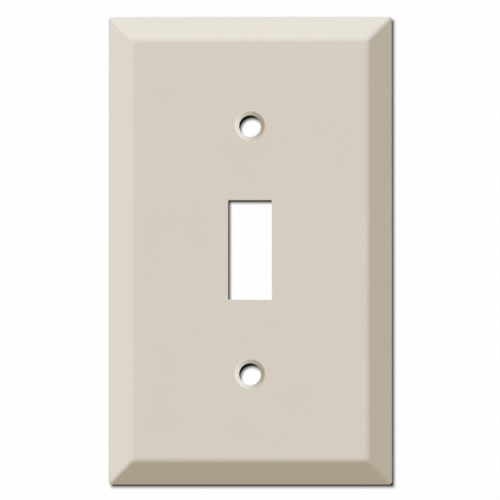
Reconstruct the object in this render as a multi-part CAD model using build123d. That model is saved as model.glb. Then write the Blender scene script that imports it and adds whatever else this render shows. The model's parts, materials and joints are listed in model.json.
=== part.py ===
from build123d import *
import math
import os

# Single-gang toggle switch wall plate: one pan pressed from steel sheet and painted. Millimetres.
#
# Frame: the origin is on the wall surface, midway between the two screw holes. +Z is up the wall, -Y points
# out of the wall, and +X is to the right of someone facing the plate. The plate is modelled lying on its
# back, with its face towards +Z and its top towards +Y, and the last step stands it up.

# Driving dimensions
PLATE_WIDTH = 69.0
PLATE_HEIGHT = 114.0
PLATE_DEPTH = 5.6            # wall surface to front face
SHEET = 1.0                  # thickness of the steel
BEVEL_WIDTH = 5.85           # of the sloping border, seen from the front
SKIRT = 1.4                  # straight edge between the bevels and the wall
FACE_FOLD_RADIUS = 2.4       # where the face folds into the bevels
MITRE_FOLD_RADIUS = 1.3      # where one bevel folds into the next
SKIRT_FOLD_RADIUS = 0.5      # where the bevels fold into the skirt

SLOT_WIDTH = 10.6            # toggle opening
SLOT_HEIGHT = 24.2
SLOT_CORNER_RADIUS = 0.25
SLOT_EDGE_RADIUS = 0.1       # paint rounds the front edge of the opening

SCREW_SPACING = 60.325       # 2 3/8 inch, the spacing of a toggle switch's cover screws
SCREW_HOLE_RADIUS = 2.65
COUNTERSINK_RADIUS = 3.6
COUNTERSINK_ANGLE = 82.0     # included, to suit an oval-head machine screw
BOSS_HEIGHT = 0.35           # pressing a countersink raises a low ring on the back of the face
BOSS_TOP_RADIUS = 3.7
BOSS_FOOT_RADIUS = 4.5

# Worked out from them
RISE = PLATE_DEPTH - SKIRT
SLOPE = math.atan2(RISE, BEVEL_WIDTH)                 # of a bevel, measured from the face
FACE_WIDTH = PLATE_WIDTH - 2 * BEVEL_WIDTH
FACE_HEIGHT = PLATE_HEIGHT - 2 * BEVEL_WIDTH
BACK_OF_FACE = PLATE_DEPTH - SHEET
COUNTERSINK_DEPTH = (COUNTERSINK_RADIUS - SCREW_HOLE_RADIUS) / math.tan(math.radians(COUNTERSINK_ANGLE / 2))
SCREW_HOLES = [(0, SCREW_SPACING / 2), (0, -SCREW_SPACING / 2)]
OVERCUT = 1.0                # how far a cutting shape runs past what it cuts
TOUCH = 0.01                 # how near an edge lies to the place where it is looked for


def pan(face_width, face_height, depth, border, face_fold_radius, mitre_fold_radius):
    """A solid block: flat face, sloping borders with rounded folds, and straight sides down to the wall."""
    side_height = depth - border * math.tan(SLOPE)
    frustum_height = depth - side_height + OVERCUT
    spread = frustum_height / math.tan(SLOPE)
    frustum = Wedge(
        face_width + 2 * spread,
        frustum_height,
        face_height + 2 * spread,
        spread,
        spread,
        spread + face_width,
        spread + face_height,
        align=(Align.CENTER, Align.MAX, Align.CENTER),
    )
    frustum = Pos(0, 0, depth) * Rot(90, 0, 0) * frustum
    face_folds = [e for e in frustum.edges() if e.center().Z > depth - TOUCH]
    frustum = fillet(face_folds, face_fold_radius)
    mitres = [e for e in frustum.edges() if e.bounding_box().size.Z > 0.5 * depth]
    slopes = split(fillet(mitres, mitre_fold_radius), Plane.XY.offset(side_height), keep=Keep.TOP)
    sides = extrude(slopes.faces().sort_by(Axis.Z)[0], side_height, dir=(0, 0, -1))
    return slopes + sides


def sheet_pan():
    """The pressed sheet: the outer block, hollowed from the back by one set in by the sheet's thickness."""
    outer = pan(FACE_WIDTH, FACE_HEIGHT, PLATE_DEPTH, BEVEL_WIDTH, FACE_FOLD_RADIUS, MITRE_FOLD_RADIUS)
    skirt_folds = [
        e for e in outer.edges() if abs(e.center().Z - SKIRT) < TOUCH and e.bounding_box().size.Z < TOUCH
    ]
    outer = fillet(skirt_folds, SKIRT_FOLD_RADIUS)
    set_in = SHEET * math.tan(SLOPE / 2)
    hollow = pan(
        FACE_WIDTH - 2 * set_in,
        FACE_HEIGHT - 2 * set_in,
        BACK_OF_FACE,
        BEVEL_WIDTH + set_in - SHEET,
        FACE_FOLD_RADIUS - SHEET,
        MITRE_FOLD_RADIUS - SHEET,
    )
    return outer - hollow


def boss(x, y):
    """The ring that a countersink raises on the back of the face."""
    ring = Cone(
        BOSS_TOP_RADIUS,
        BOSS_FOOT_RADIUS,
        BOSS_HEIGHT,
        align=(Align.CENTER, Align.CENTER, Align.MAX),
    )
    return Pos(x, y, BACK_OF_FACE) * ring


def screw_cut(x, y):
    """A countersink in the face and the straight hole below it."""
    sink = Cone(
        SCREW_HOLE_RADIUS,
        COUNTERSINK_RADIUS,
        COUNTERSINK_DEPTH,
        align=(Align.CENTER, Align.CENTER, Align.MAX),
    )
    hole = Cylinder(SCREW_HOLE_RADIUS, PLATE_DEPTH, align=(Align.CENTER, Align.CENTER, Align.MAX))
    return Pos(x, y, PLATE_DEPTH) * (sink + hole)


def toggle_cut():
    """The opening for the switch's toggle."""
    return extrude(RectangleRounded(SLOT_WIDTH, SLOT_HEIGHT, SLOT_CORNER_RADIUS), PLATE_DEPTH + OVERCUT)


def round_slot_edge(plate):
    """The same plate, with the front edge of the toggle opening eased."""
    edge = [
        e
        for e in plate.edges()
        if abs(e.center().Z - PLATE_DEPTH) < TOUCH
        and abs(e.center().X) < SLOT_WIDTH / 2 + TOUCH
        and abs(e.center().Y) < SLOT_HEIGHT / 2 + TOUCH
    ]
    return fillet(edge, SLOT_EDGE_RADIUS)


def wall_plate():
    """The finished plate, standing against the wall."""
    plate = sheet_pan()
    for x, y in SCREW_HOLES:
        plate += boss(x, y)
        plate -= screw_cut(x, y)
    plate = round_slot_edge(plate - toggle_cut())
    return Rot(90, 0, 0) * plate


os.makedirs("parts", exist_ok=True)
export_step(wall_plate(), "parts/wall_plate.step")
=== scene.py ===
import json
import math

import bmesh
import bpy
from mathutils import Matrix, Vector


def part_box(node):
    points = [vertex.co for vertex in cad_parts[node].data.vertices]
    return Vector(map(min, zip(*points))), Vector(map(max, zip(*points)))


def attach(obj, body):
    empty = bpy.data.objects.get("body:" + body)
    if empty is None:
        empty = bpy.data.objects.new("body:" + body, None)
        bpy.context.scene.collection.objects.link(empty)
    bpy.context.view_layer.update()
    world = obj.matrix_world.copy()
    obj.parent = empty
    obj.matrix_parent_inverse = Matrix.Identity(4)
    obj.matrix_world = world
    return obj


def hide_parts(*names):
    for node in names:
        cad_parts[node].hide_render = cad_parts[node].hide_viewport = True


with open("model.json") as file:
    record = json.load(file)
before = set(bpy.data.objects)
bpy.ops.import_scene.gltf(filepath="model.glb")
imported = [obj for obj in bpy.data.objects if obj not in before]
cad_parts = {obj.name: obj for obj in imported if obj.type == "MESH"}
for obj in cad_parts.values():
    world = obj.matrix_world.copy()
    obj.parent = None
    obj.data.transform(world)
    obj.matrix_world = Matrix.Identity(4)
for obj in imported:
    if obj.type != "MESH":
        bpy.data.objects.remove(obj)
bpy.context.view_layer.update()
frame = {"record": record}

MM = 0.001

# ---- Sizes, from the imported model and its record. "Height" is the distance out from the wall (-Y). ----

LOW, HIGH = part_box("wall_plate")
HALF_WIDTH = (HIGH.x - LOW.x) / 2
HALF_HEIGHT = (HIGH.z - LOW.z) / 2
DEPTH = HIGH.y - LOW.y
MOUNTS = {mount["name"]: mount for mount in frame["record"]["mounts"]}
SCREWS = MOUNTS["cover_screws"]["dims"]
SCREW_Z = SCREWS["spacing_y_mm"] / 2 * MM
SCREW_RADIUS = SCREWS["hole_r_mm"] * MM

SHEET = 1.0 * MM
BEVEL_WIDTH = 5.85 * MM
SKIRT = 1.4 * MM
FACE_FOLD = 2.4 * MM
MITRE_FOLD = 1.3 * MM
SKIRT_FOLD = 0.5 * MM
RIM_EDGE = 0.12 * MM              # the skirt's sharp edges, rounded by the paint
SLOT_HALF_WIDTH = 5.3 * MM
SLOT_HALF_HEIGHT = 12.1 * MM
SLOT_CORNER = 0.25 * MM
SLOT_EDGE = 0.1 * MM
COUNTERSINK_RADIUS = 3.6 * MM
COUNTERSINK_ANGLE = math.radians(82)
COUNTERSINK_EDGE = 0.14 * MM      # where it meets the face
BORE_EDGE = 0.05 * MM             # where it meets the straight hole
BOSS_HEIGHT = 0.35 * MM
BOSS_TOP = 3.7 * MM
BOSS_FOOT = 4.5 * MM
BOSS_TOP_EDGE = 0.2 * MM
BOSS_FOOT_EDGE = 0.3 * MM
BACK_EDGE = 0.06 * MM             # the openings' edges behind

SLOPE = math.atan2(DEPTH - SKIRT, BEVEL_WIDTH)
BACK_OF_FACE = DEPTH - SHEET
SET_IN = SHEET * math.tan(SLOPE / 2)
MITRE_CORNER = MITRE_FOLD * math.sin(SLOPE)                    # corner radius of a level slice, outside
MITRE_CORNER_INSIDE = (MITRE_FOLD - SHEET) * math.sin(SLOPE)
FLAT_INSET = BEVEL_WIDTH + FACE_FOLD * math.tan(SLOPE / 2)     # from the outline to the flat of the face
SKIRT_INSIDE = BACK_OF_FACE - (BEVEL_WIDTH + SET_IN - SHEET) * math.tan(SLOPE)
SINK_DEPTH = (COUNTERSINK_RADIUS - SCREW_RADIUS) / math.tan(COUNTERSINK_ANGLE / 2)


# ---- The plate's mesh: quads in rings round each fold and opening, and a grid across the flat ----

FOLD_STEPS = 10                   # across a fold
EDGE_STEPS = 5                    # across an opening's rounded edge
CORNER_STEPS = 8                  # round a corner of the plate
SLOT_CORNER_STEPS = 2             # round half a corner of the slot
PATCH = 7.3 * MM                  # half the width of the square of grid left open round each screw hole
SLOT_PATCH = 14.1 * MM            # half the height of the one left open round the slot
HOLE_CELLS = 16                   # grid cells along a side of a square patch
SLOT_CELLS = 28                   # along the slot's patch
SIDE_CELLS = 12                   # between the patches and the plate's long sides
GAP_CELLS = 8                     # between two patches, and above and below them all
HOLE_MARGIN = 0.4 * MM            # flat ring kept round a boss
SLOT_MARGIN = 0.8 * MM            # flat ring kept round the slot
FOLD_MARGIN = 0.01 * MM           # flat ring kept inside the face's fold


def spaced(stops, counts):
    """Numbers from the first stop to the last, with counts[i] equal steps between stops i and i + 1."""
    found = [stops[0]]
    for start, end, count in zip(stops, stops[1:], counts):
        found += [start + (end - start) * k / count for k in range(1, count + 1)]
    return found


GRID_X = HALF_WIDTH - FLAT_INSET - MITRE_CORNER
GRID_Z = HALF_HEIGHT - FLAT_INSET - MITRE_CORNER
COLUMNS = spaced([-GRID_X, -PATCH, PATCH, GRID_X], [SIDE_CELLS, HOLE_CELLS, SIDE_CELLS])
PATCH_ROWS = [-SCREW_Z - PATCH, -SCREW_Z + PATCH, -SLOT_PATCH, SLOT_PATCH, SCREW_Z - PATCH, SCREW_Z + PATCH]
ROWS = spaced(
    [-GRID_Z, *PATCH_ROWS, GRID_Z],
    [GAP_CELLS, HOLE_CELLS, GAP_CELLS, SLOT_CELLS, GAP_CELLS, HOLE_CELLS, GAP_CELLS],
)


def rounded(profile, steps):
    """A profile with its corners rounded. Its points are (position, height, radius, extra)."""
    path = [(profile[0][0], profile[0][1], profile[0][3])]
    for before, here, after in zip(profile, profile[1:], profile[2:]):
        corner = Vector(here[:2])
        back = (Vector(before[:2]) - corner).normalized()
        on = (Vector(after[:2]) - corner).normalized()
        half = back.angle(on) / 2
        centre = corner + (back + on).normalized() * (here[2] / math.sin(half))
        start = corner + back * (here[2] / math.tan(half)) - centre
        end = corner + on * (here[2] / math.tan(half)) - centre
        sweep = math.atan2(start.cross(end), start.dot(end))
        for k in range(steps + 1):
            point = centre + Matrix.Rotation(sweep * k / steps, 2) @ start
            path.append((point.x, point.y, here[3]))
    path.append((profile[-1][0], profile[-1][1], profile[-1][3]))
    return path


def arc(cx, cz, radius, start, end, steps):
    """The points of an arc between two angles in degrees, both ends left out."""
    angles = [math.radians(start + (end - start) * k / steps) for k in range(1, steps)]
    return [(cx + radius * math.cos(a), cz + radius * math.sin(a)) for a in angles]


def outline(inset, corner):
    """A ring round the plate, anticlockwise from its lower left, in step with the grid."""
    width, height = HALF_WIDTH - inset, HALF_HEIGHT - inset
    cx, cz = width - corner, height - corner
    xs = [x * cx / GRID_X for x in COLUMNS]
    zs = [z * cz / GRID_Z for z in ROWS]
    return (
        [(x, -height) for x in xs]
        + arc(cx, -cz, corner, -90, 0, CORNER_STEPS)
        + [(width, z) for z in zs]
        + arc(cx, cz, corner, 0, 90, CORNER_STEPS)
        + [(x, height) for x in reversed(xs)]
        + arc(-cx, cz, corner, 90, 180, CORNER_STEPS)
        + [(-width, z) for z in reversed(zs)]
        + arc(-cx, -cz, corner, 180, 270, CORNER_STEPS)
    )


def circle(z, radius, count):
    """A ring round a screw hole, anticlockwise from its lower left."""
    angles = [math.radians(225 + 360 * k / count) for k in range(count)]
    return [(radius * math.cos(a), z + radius * math.sin(a)) for a in angles]


def slot_ring(grow):
    """A ring round the toggle slot, anticlockwise from the middle of its lower left corner."""
    corner = SLOT_CORNER + grow
    cx, cz = SLOT_HALF_WIDTH - SLOT_CORNER, SLOT_HALF_HEIGHT - SLOT_CORNER
    steps = SLOT_CORNER_STEPS
    across, up = (2 * cx, HOLE_CELLS), (2 * cz, SLOT_CELLS)
    points = []
    sides = ((270, -1, -1, across), (0, 1, -1, up), (90, 1, 1, across), (180, -1, 1, up))
    for turn, sx, sz, (run, count) in sides:
        facing = Vector((math.cos(math.radians(turn)), math.sin(math.radians(turn))))
        along = Vector((-facing.y, facing.x))
        start = Vector((sx * cx, sz * cz))
        for k in range(steps):
            a = math.radians(turn - 45 + 45 * k / steps)
            points.append(start + corner * Vector((math.cos(a), math.sin(a))))
        straight = count - 2 * steps
        for k in range(straight + 1):
            points.append(start + corner * facing + along * (run * k / straight))
        for k in range(1, steps):
            a = math.radians(turn + 45 * k / steps)
            points.append(start + along * run + corner * Vector((math.cos(a), math.sin(a))))
    return points


def nearest(values, wanted):
    return min(range(len(values)), key=lambda k: abs(values[k] - wanted))


class Sheet:
    """The mesh while it is being made."""

    def __init__(self):
        self.bm = bmesh.new()

    def ring(self, points, height):
        return [self.bm.verts.new((x, -height, z)) for x, z in points]

    def bridge(self, one, other):
        """Faces between two rings of as many points, a triangle where a ring stays on one point."""
        count = len(one)
        for k in range(count):
            corners = [one[k], one[(k + 1) % count], other[(k + 1) % count], other[k]]
            kept = [v for n, v in enumerate(corners) if v not in corners[:n]]
            if len(kept) > 2:
                self.bm.faces.new(kept)

    def chain(self, rings):
        for one, other in zip(rings, rings[1:]):
            self.bridge(one, other)

    def flat(self, height):
        """The grid at one height. Gives the loops round its edge, the slot and the two screw holes."""
        holes = {
            "low": (-SCREW_Z - PATCH, -SCREW_Z + PATCH),
            "slot": (-SLOT_PATCH, SLOT_PATCH),
            "high": (SCREW_Z - PATCH, SCREW_Z + PATCH),
        }
        i0, i1 = nearest(COLUMNS, -PATCH), nearest(COLUMNS, PATCH)
        spans = {name: (nearest(ROWS, low), nearest(ROWS, high)) for name, (low, high) in holes.items()}

        def inside(i, j):
            return i0 < i < i1 and any(j0 < j < j1 for j0, j1 in spans.values())

        def open_cell(i, j):
            return i0 <= i < i1 and any(j0 <= j < j1 for j0, j1 in spans.values())

        verts = {
            (i, j): self.bm.verts.new((x, -height, z))
            for i, x in enumerate(COLUMNS)
            for j, z in enumerate(ROWS)
            if not inside(i, j)
        }
        for i in range(len(COLUMNS) - 1):
            for j in range(len(ROWS) - 1):
                if not open_cell(i, j):
                    self.bm.faces.new([verts[i, j], verts[i + 1, j], verts[i + 1, j + 1], verts[i, j + 1]])

        def loop(left, right, low, high, repeat=0):
            """A ring of the grid's vertices, anticlockwise from its lower left, with its corners repeated."""
            bottom = [verts[i, low] for i in range(left, right)] + [verts[right, low]] * repeat
            rising = [verts[right, j] for j in range(low, high)] + [verts[right, high]] * repeat
            top = [verts[i, high] for i in range(right, left, -1)] + [verts[left, high]] * repeat
            falling = [verts[left, j] for j in range(high, low, -1)] + [verts[left, low]] * repeat
            return bottom + rising + top + falling

        edge = loop(0, len(COLUMNS) - 1, 0, len(ROWS) - 1, CORNER_STEPS)
        return edge, {name: loop(i0, i1, j0, j1) for name, (j0, j1) in spans.items()}


def plate_mesh():
    """The pressed sheet as one closed mesh."""
    sheet = Sheet()
    front_edge, front_holes = sheet.flat(DEPTH)
    back_edge, back_holes = sheet.flat(BACK_OF_FACE)

    section = rounded(
        [
            (FLAT_INSET + FOLD_MARGIN, DEPTH, 0, MITRE_CORNER),
            (BEVEL_WIDTH, DEPTH, FACE_FOLD, MITRE_CORNER),
            (0, SKIRT, SKIRT_FOLD, MITRE_CORNER),
            (0, 0, RIM_EDGE, MITRE_CORNER),
            (SHEET, 0, RIM_EDGE, MITRE_CORNER_INSIDE),
            (SHEET, SKIRT_INSIDE, RIM_EDGE, MITRE_CORNER_INSIDE),
            (BEVEL_WIDTH + SET_IN, BACK_OF_FACE, FACE_FOLD - SHEET, MITRE_CORNER_INSIDE),
            (FLAT_INSET + FOLD_MARGIN, BACK_OF_FACE, 0, MITRE_CORNER_INSIDE),
        ],
        FOLD_STEPS,
    )
    rings = [sheet.ring(outline(inset, corner), height) for inset, height, corner in section]
    sheet.chain([front_edge, *rings, back_edge])

    hole = rounded(
        [
            (BOSS_FOOT + HOLE_MARGIN, DEPTH, 0, None),
            (COUNTERSINK_RADIUS, DEPTH, COUNTERSINK_EDGE, None),
            (SCREW_RADIUS, DEPTH - SINK_DEPTH, BORE_EDGE, None),
            (SCREW_RADIUS, BACK_OF_FACE - BOSS_HEIGHT, BACK_EDGE, None),
            (BOSS_TOP, BACK_OF_FACE - BOSS_HEIGHT, BOSS_TOP_EDGE, None),
            (BOSS_FOOT, BACK_OF_FACE, BOSS_FOOT_EDGE, None),
            (BOSS_FOOT + HOLE_MARGIN, BACK_OF_FACE, 0, None),
        ],
        EDGE_STEPS,
    )
    for name, z in (("low", -SCREW_Z), ("high", SCREW_Z)):
        count = len(front_holes[name])
        rings = [sheet.ring(circle(z, radius, count), height) for radius, height, _ in hole]
        sheet.chain([front_holes[name], *rings, back_holes[name]])

    slot = rounded(
        [
            (SLOT_MARGIN, DEPTH, 0, None),
            (0, DEPTH, SLOT_EDGE, None),
            (0, BACK_OF_FACE, BACK_EDGE, None),
            (SLOT_MARGIN, BACK_OF_FACE, 0, None),
        ],
        EDGE_STEPS,
    )
    rings = [sheet.ring(slot_ring(grow), height) for grow, height, _ in slot]
    sheet.chain([front_holes["slot"], *rings, back_holes["slot"]])

    bmesh.ops.recalc_face_normals(sheet.bm, faces=sheet.bm.faces)
    for face in sheet.bm.faces:
        face.smooth = True
    mesh = bpy.data.meshes.new("plate_shell")
    sheet.bm.to_mesh(mesh)
    sheet.bm.free()
    return mesh


# ---- Materials ----

ENAMEL = (0.665, 0.617, 0.527)
PRIMER = (0.42, 0.40, 0.36)
CLOUD_SIZE = 18 * MM              # faint clouding in the colour
CLOUD_DEPTH = 0.015
SPECKLE_SIZE = 0.7 * MM           # thin spots in the coat on the back
THIN_SIZE = 20 * MM               # patches of the back where they show more
THIN_LEAST, THIN_MOST = 0.15, 0.40
GRAIN_SIZE = 0.16 * MM
GRAIN_DEPTH = 0.0012 * MM
PEEL_SIZE = 0.9 * MM              # the orange peel of sprayed paint
PEEL_DEPTH = 0.010 * MM
SMOOTHEST, ROUGHEST = 0.40, 0.48
ROUGHER_BEHIND = 0.15


class Nodes:
    """A material's node tree, with short calls for the few kinds of node used here."""

    def __init__(self, name):
        self.material = bpy.data.materials.new(name)
        self.material.use_nodes = True
        self.tree = self.material.node_tree
        self.shader = self.tree.nodes["Principled BSDF"]
        self.output = self.tree.nodes["Material Output"]

    def add(self, kind, inputs=(), **settings):
        node = self.tree.nodes.new(kind)
        for key, value in settings.items():
            setattr(node, key, value)
        for key, value in dict(inputs).items():
            self.put(node.inputs[key], value)
        return node

    def put(self, socket, value):
        if isinstance(value, bpy.types.NodeSocket):
            self.tree.links.new(value, socket)
        else:
            socket.default_value = value

    def finish(self, mix):
        """Put a shader of its own in place of the one that a new material comes with."""
        self.tree.nodes.remove(self.shader)
        self.put(self.output.inputs["Surface"], mix.outputs["Shader"])

    def math(self, operation, *values):
        node = self.add("ShaderNodeMath", operation=operation)
        for socket, value in zip(node.inputs, values):
            self.put(socket, value)
        return node.outputs[0]

    def noise(self, where, size, detail=2.0, rough=0.5):
        """Noise from 0 to 1 with features of about the given size in metres."""
        scale = {"Vector": where, "Scale": 1 / size, "Detail": detail, "Roughness": rough}
        return self.add("ShaderNodeTexNoise", scale).outputs["Fac"]

    def remap(self, value, low, high, to_low=0.0, to_high=1.0, smooth=True):
        kind = "SMOOTHSTEP" if smooth else "LINEAR"
        settings = {"From Min": low, "From Max": high, "To Min": to_low, "To Max": to_high}
        node = self.add("ShaderNodeMapRange", settings, interpolation_type=kind)
        self.put(node.inputs["Value"], value)
        return node.outputs["Result"]

    def blend(self, factor, one, other):
        node = self.add("ShaderNodeMix", data_type="RGBA")
        self.put(node.inputs["Factor"], factor)
        self.put(node.inputs["A"], one)
        self.put(node.inputs["B"], other)
        return node.outputs["Result"]


def colour(rgb, gain=1.0):
    return (*[min(1.0, c * gain) for c in rgb], 1.0)


def enamel_material():
    """Satin enamel sprayed on steel: faint clouding, orange peel, and a thinner coat on the back."""
    n = Nodes("almond_enamel_paint")
    where = n.add("ShaderNodeTexCoord").outputs["Object"]
    normal = n.add("ShaderNodeNewGeometry").outputs["Normal"]

    clouds = n.noise(where, CLOUD_SIZE, 3.0)
    base = n.blend(clouds, colour(ENAMEL, 1 - CLOUD_DEPTH), colour(ENAMEL, 1 + CLOUD_DEPTH))

    behind = n.remap(n.add("ShaderNodeSeparateXYZ", {"Vector": normal}).outputs["Y"], 0.05, 0.5)
    speckle = n.remap(n.noise(where, SPECKLE_SIZE, 4.0, 0.65), 0.44, 0.62)
    patches = n.remap(n.noise(where, THIN_SIZE, 2.0), 0.3, 0.7, THIN_LEAST, THIN_MOST)
    thin = n.math("MULTIPLY", behind, n.math("MULTIPLY", speckle, patches))
    base = n.blend(thin, base, colour(PRIMER))
    n.put(n.shader.inputs["Base Color"], base)

    grain = n.noise(where, GRAIN_SIZE, 2.0)
    satin = n.remap(grain, 0.3, 0.7, SMOOTHEST, ROUGHEST, smooth=False)
    rougher = n.math("MULTIPLY", behind, ROUGHER_BEHIND)
    n.put(n.shader.inputs["Roughness"], n.math("ADD", satin, rougher))

    peel = n.noise(where, PEEL_SIZE, 2.0, 0.45)
    coarse = n.add("ShaderNodeBump", {"Height": peel, "Distance": PEEL_DEPTH, "Strength": 1.0})
    fine = n.add("ShaderNodeBump", {"Height": grain, "Distance": GRAIN_DEPTH, "Strength": 1.0})
    n.put(fine.inputs["Normal"], coarse.outputs["Normal"])
    n.put(n.shader.inputs["Normal"], fine.outputs["Normal"])
    return n.material


# ---- The plate ----

scene = bpy.context.scene
plate = bpy.data.objects.new("plate_shell", plate_mesh())
scene.collection.objects.link(plate)
plate.data.materials.append(enamel_material())
plate.modifiers.new("flat_faces_stay_flat", "WEIGHTED_NORMAL")
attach(plate, "root")
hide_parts("wall_plate")


# ---- Camera ----

LENS = 500.0
SENSOR = 36.0
VIEW_WIDTH = 121.8 * MM              # seen across the picture, at the plate
DISTANCE = VIEW_WIDTH * LENS / SENSOR
AZIMUTH = math.radians(1.0)          # a little from the right
ELEVATION = math.radians(-1.6)       # and a little from below
AIM = Vector((-0.07, -1.0, 0.11)) * MM


def add_camera():
    data = bpy.data.cameras.new("camera")
    data.lens = LENS
    data.sensor_width = SENSOR
    data.clip_start = 0.05
    data.clip_end = 50
    camera = bpy.data.objects.new("camera", data)
    scene.collection.objects.link(camera)
    out = Vector((
        math.sin(AZIMUTH) * math.cos(ELEVATION),
        -math.cos(AZIMUTH) * math.cos(ELEVATION),
        math.sin(ELEVATION),
    ))
    camera.location = AIM + DISTANCE * out
    camera.rotation_euler = out.to_track_quat("Z", "Y").to_euler()
    scene.camera = camera


add_camera()


# ---- Stage: a wall behind the plate and a card close behind its openings, both glowing with painted shadows and painted light, and a floor well below ----

WALL_Y = 0.1 * MM
CARD_GAP = 1.0 * MM
CARD_Y = -BACK_OF_FACE + CARD_GAP
CARD_HALF = (24 * MM, 46 * MM)
STAGE_HALF = 3.0
FLOOR_Z = -0.20
FLOOR_HALF = 10.0

SHADOW_SHIFT = (0.565 * MM, -0.675 * MM)      # the plate's soft shadow on the wall falls right and down
SHADOW_BLUR = 0.675 * MM
CARD_SHIFT = (0.55 * MM, -0.655 * MM)         # and so does the light that comes through the openings
CARD_BLUR = 0.59 * MM
HOLE_SHIFT = (0.55 * MM, -1.02 * MM)          # the screw holes' light falls a little further
HOLE_BLUR = 0.67 * MM
WHITE = 0.991
FLOOR_WHITE = 0.975
# painted shadow tones: the wall's shadow, the card's shade round the slot's light, and the deeper shade in
# the screw holes
SHADOW_TONE = 0.008
CARD_PAINTED_SHADE = 0.03
HOLE_PAINTED_SHADE = 0.006


def inside(n, distance, edge, blur):
    """1 where a distance is within an edge, 0 outside it, with a soft change between."""
    return n.remap(distance, edge - blur, edge + blur, 1.0, 0.0)


def in_screw_hole(n, across, up, radius, blur):
    """1 within a radius of either screw hole's centre, 0 outside."""
    above = n.math("SUBTRACT", up, SCREW_Z)
    squares = n.math("ADD", n.math("MULTIPLY", across, across), n.math("MULTIPLY", above, above))
    return inside(n, n.math("SQRT", squares), radius, blur)


def from_centre(n, shift):
    """Distances across and up from the centre of a pattern moved by the shift."""
    where = n.add("ShaderNodeTexCoord").outputs["Object"]
    place = n.add("ShaderNodeSeparateXYZ", {"Vector": where}).outputs
    across = n.math("ABSOLUTE", n.math("SUBTRACT", place["X"], shift[0]))
    up = n.math("ABSOLUTE", n.math("SUBTRACT", place["Z"], shift[1]))
    return across, up


def painted_wall_tone(n):
    """White, but for the plate's soft shadow, which is painted on."""
    across, up = from_centre(n, SHADOW_SHIFT)
    shaded = n.math(
        "MULTIPLY",
        inside(n, across, HALF_WIDTH, SHADOW_BLUR),
        inside(n, up, HALF_HEIGHT, SHADOW_BLUR),
    )
    return n.remap(shaded, 0.0, 1.0, WHITE, SHADOW_TONE, smooth=False)


def painted_card_tone(n):
    """Painted dark shade, with painted light where it would come through the slot and the screw holes."""
    across, up = from_centre(n, CARD_SHIFT)
    # painted light within the shifted outlines of the slot and screw holes, painted shade round them
    slot = n.math(
        "MULTIPLY",
        inside(n, across, SLOT_HALF_WIDTH, CARD_BLUR),
        inside(n, up, SLOT_HALF_HEIGHT, CARD_BLUR),
    )
    slot = n.remap(slot, 0.0, 1.0, CARD_PAINTED_SHADE, WHITE, smooth=False)
    holes = in_screw_hole(n, *from_centre(n, HOLE_SHIFT), SCREW_RADIUS, HOLE_BLUR)
    holes = n.remap(holes, 0.0, 1.0, HOLE_PAINTED_SHADE, WHITE, smooth=False)
    return n.blend(n.math("LESS_THAN", up, (SLOT_HALF_HEIGHT + SCREW_Z) / 2), holes, slot)


def floor_tone(n):
    """Evenly pale."""
    return (FLOOR_WHITE, FLOOR_WHITE, FLOOR_WHITE, 1.0)


def backdrop_material(name, tone):
    """As bright as tone(nodes), and clear when seen from behind."""
    n = Nodes(name)
    glow = n.add("ShaderNodeEmission", {"Color": tone(n)})
    behind = n.add("ShaderNodeNewGeometry").outputs["Backfacing"]
    clear = n.add("ShaderNodeBsdfTransparent").outputs["BSDF"]
    n.finish(n.add("ShaderNodeMixShader", {0: behind, 1: glow.outputs["Emission"], 2: clear}))
    return n.material


def rectangle(name, corners, material):
    """A flat stage piece that no ray sees until told otherwise."""
    bm = bmesh.new()
    bm.faces.new([bm.verts.new(corner) for corner in corners])
    mesh = bpy.data.meshes.new(name)
    bm.to_mesh(mesh)
    bm.free()
    sheet = bpy.data.objects.new(name, mesh)
    scene.collection.objects.link(sheet)
    mesh.materials.append(material)
    sheet.visible_camera = False
    sheet.visible_diffuse = False
    sheet.visible_glossy = False
    sheet.visible_transmission = False
    sheet.visible_shadow = False
    return sheet


def backdrop(name, corners, material):
    """A flat rectangle that only the camera sees, so it neither lights nor shades the plate."""
    rectangle(name, corners, material).visible_camera = True


def facing_out(y, half_width, low, high):
    """The corners of an upright rectangle that faces along -Y."""
    return [(-half_width, y, low), (half_width, y, low), (half_width, y, high), (-half_width, y, high)]


def add_stage():
    # the wall and the card glow, with painted shadows and painted light on them; the floor is evenly pale
    wall = facing_out(WALL_Y, STAGE_HALF, FLOOR_Z, STAGE_HALF)
    backdrop("wall", wall, backdrop_material("wall_white_painted_shadow", painted_wall_tone))
    card = facing_out(CARD_Y, CARD_HALF[0], -CARD_HALF[1], CARD_HALF[1])
    backdrop("card", card, backdrop_material("card_painted_light_and_shade", painted_card_tone))
    far = FLOOR_HALF
    floor = [(x, y, FLOOR_Z) for x, y in ((-far, -far), (far, -far), (far, far), (-far, far))]
    backdrop("floor", floor, backdrop_material("floor_white", floor_tone))


add_stage()


# ---- Light: a soft key, a side light for the countersinks alone, a lamp behind, and a warm fill ----

KEY = (0.812, 0.900, 1.073)
KEY_TOWARDS = (-0.70, -1.0, 1.15)             # the upper left
SIDE = (0.737, 0.819, 0.978)
SIDE_TOWARDS = (0.78, -1.0, 0.40)             # the right
BEHIND = (0.55, 0.55, 0.55)
BEHIND_TOWARDS = (0.5, 1.0, 0.7)
FILL = (0.516, 0.463, 0.376)
SOFT, SOFTER = 24, 30                         # degrees across a lamp, seen from the plate
MASK_GAP = 0.03 * MM
MASK_MARGIN = 0.1 * MM                        # how far a mask's openings run past the countersinks
MASK_BLUR = 0.01 * MM


def mask_material(name, open_over_holes):
    """Black card, cut away over the countersinks or left only there."""
    n = Nodes(name)
    hole = in_screw_hole(n, *from_centre(n, (0, 0)), COUNTERSINK_RADIUS + MASK_MARGIN, MASK_BLUR)
    card = n.add("ShaderNodeBsdfDiffuse", {"Color": (0, 0, 0, 1)}).outputs["BSDF"]
    clear = n.add("ShaderNodeBsdfTransparent").outputs["BSDF"]
    elsewhere, over_holes = (card, clear) if open_over_holes else (clear, card)
    n.finish(n.add("ShaderNodeMixShader", {0: hole, 1: elsewhere, 2: over_holes}))
    return n.material


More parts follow.
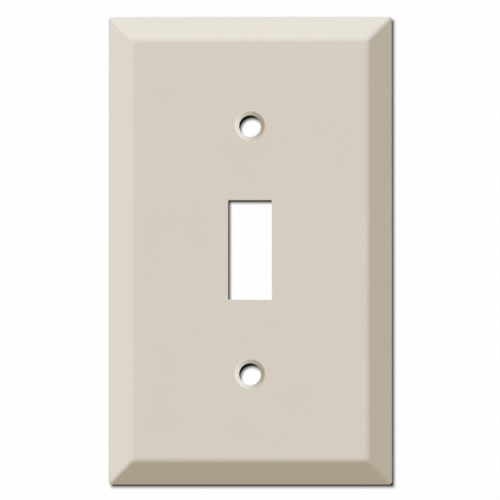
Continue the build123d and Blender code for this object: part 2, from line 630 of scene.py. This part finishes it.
def mask(name, open_over_holes):
    """A mask close in front of the face, which only shades what a lamp would light."""
    corners = facing_out(-DEPTH - MASK_GAP, 2 * HALF_WIDTH, -2 * HALF_HEIGHT, 2 * HALF_HEIGHT)
    sheet = rectangle(name, corners, mask_material(name, open_over_holes))
    sheet.visible_shadow = True
    return sheet


def sun(name, towards, rgb, degrees, *shades):
    """A distant soft lamp that makes a white surface facing it as bright as rgb.

    Only the plate and the shades given block its light.
    """
    lamp = bpy.data.lights.new(name, "SUN")
    lamp.energy = math.pi * max(rgb)
    lamp.color = [part / max(rgb) for part in rgb]
    lamp.angle = math.radians(degrees)
    found = bpy.data.objects.new(name, lamp)
    scene.collection.objects.link(found)
    found.rotation_mode = "QUATERNION"
    found.rotation_quaternion = Vector(towards).to_track_quat("Z", "Y")
    blockers = bpy.data.collections.new(name + "_blockers")
    for shade in (plate, *shades):
        blockers.objects.link(shade)
    found.light_linking.blocker_collection = blockers
    found.visible_glossy = False


sun("key", KEY_TOWARDS, KEY, SOFT, mask("mask_over_holes", False))
sun("side_light", SIDE_TOWARDS, SIDE, SOFT, mask("mask_round_holes", True))
sun("back_light", BEHIND_TOWARDS, BEHIND, SOFTER)


def add_world():
    """White to the camera, and a weaker, warmer light on the plate."""
    world = bpy.data.worlds.new("studio")
    world.use_nodes = True
    tree = world.node_tree
    fill = tree.nodes["Background"]
    fill.inputs["Color"].default_value = (*FILL, 1.0)
    white = tree.nodes.new("ShaderNodeBackground")
    white.inputs["Color"].default_value = (WHITE, WHITE, WHITE, 1.0)
    seen = tree.nodes.new("ShaderNodeLightPath").outputs["Is Camera Ray"]
    mix = tree.nodes.new("ShaderNodeMixShader")
    tree.links.new(seen, mix.inputs[0])
    tree.links.new(fill.outputs[0], mix.inputs[1])
    tree.links.new(white.outputs[0], mix.inputs[2])
    tree.links.new(mix.outputs[0], tree.nodes["World Output"].inputs["Surface"])
    world.cycles.sampling_method = "NONE"
    scene.world = world


add_world()

scene.view_settings.view_transform = "Standard"
scene.view_settings.look = "None"
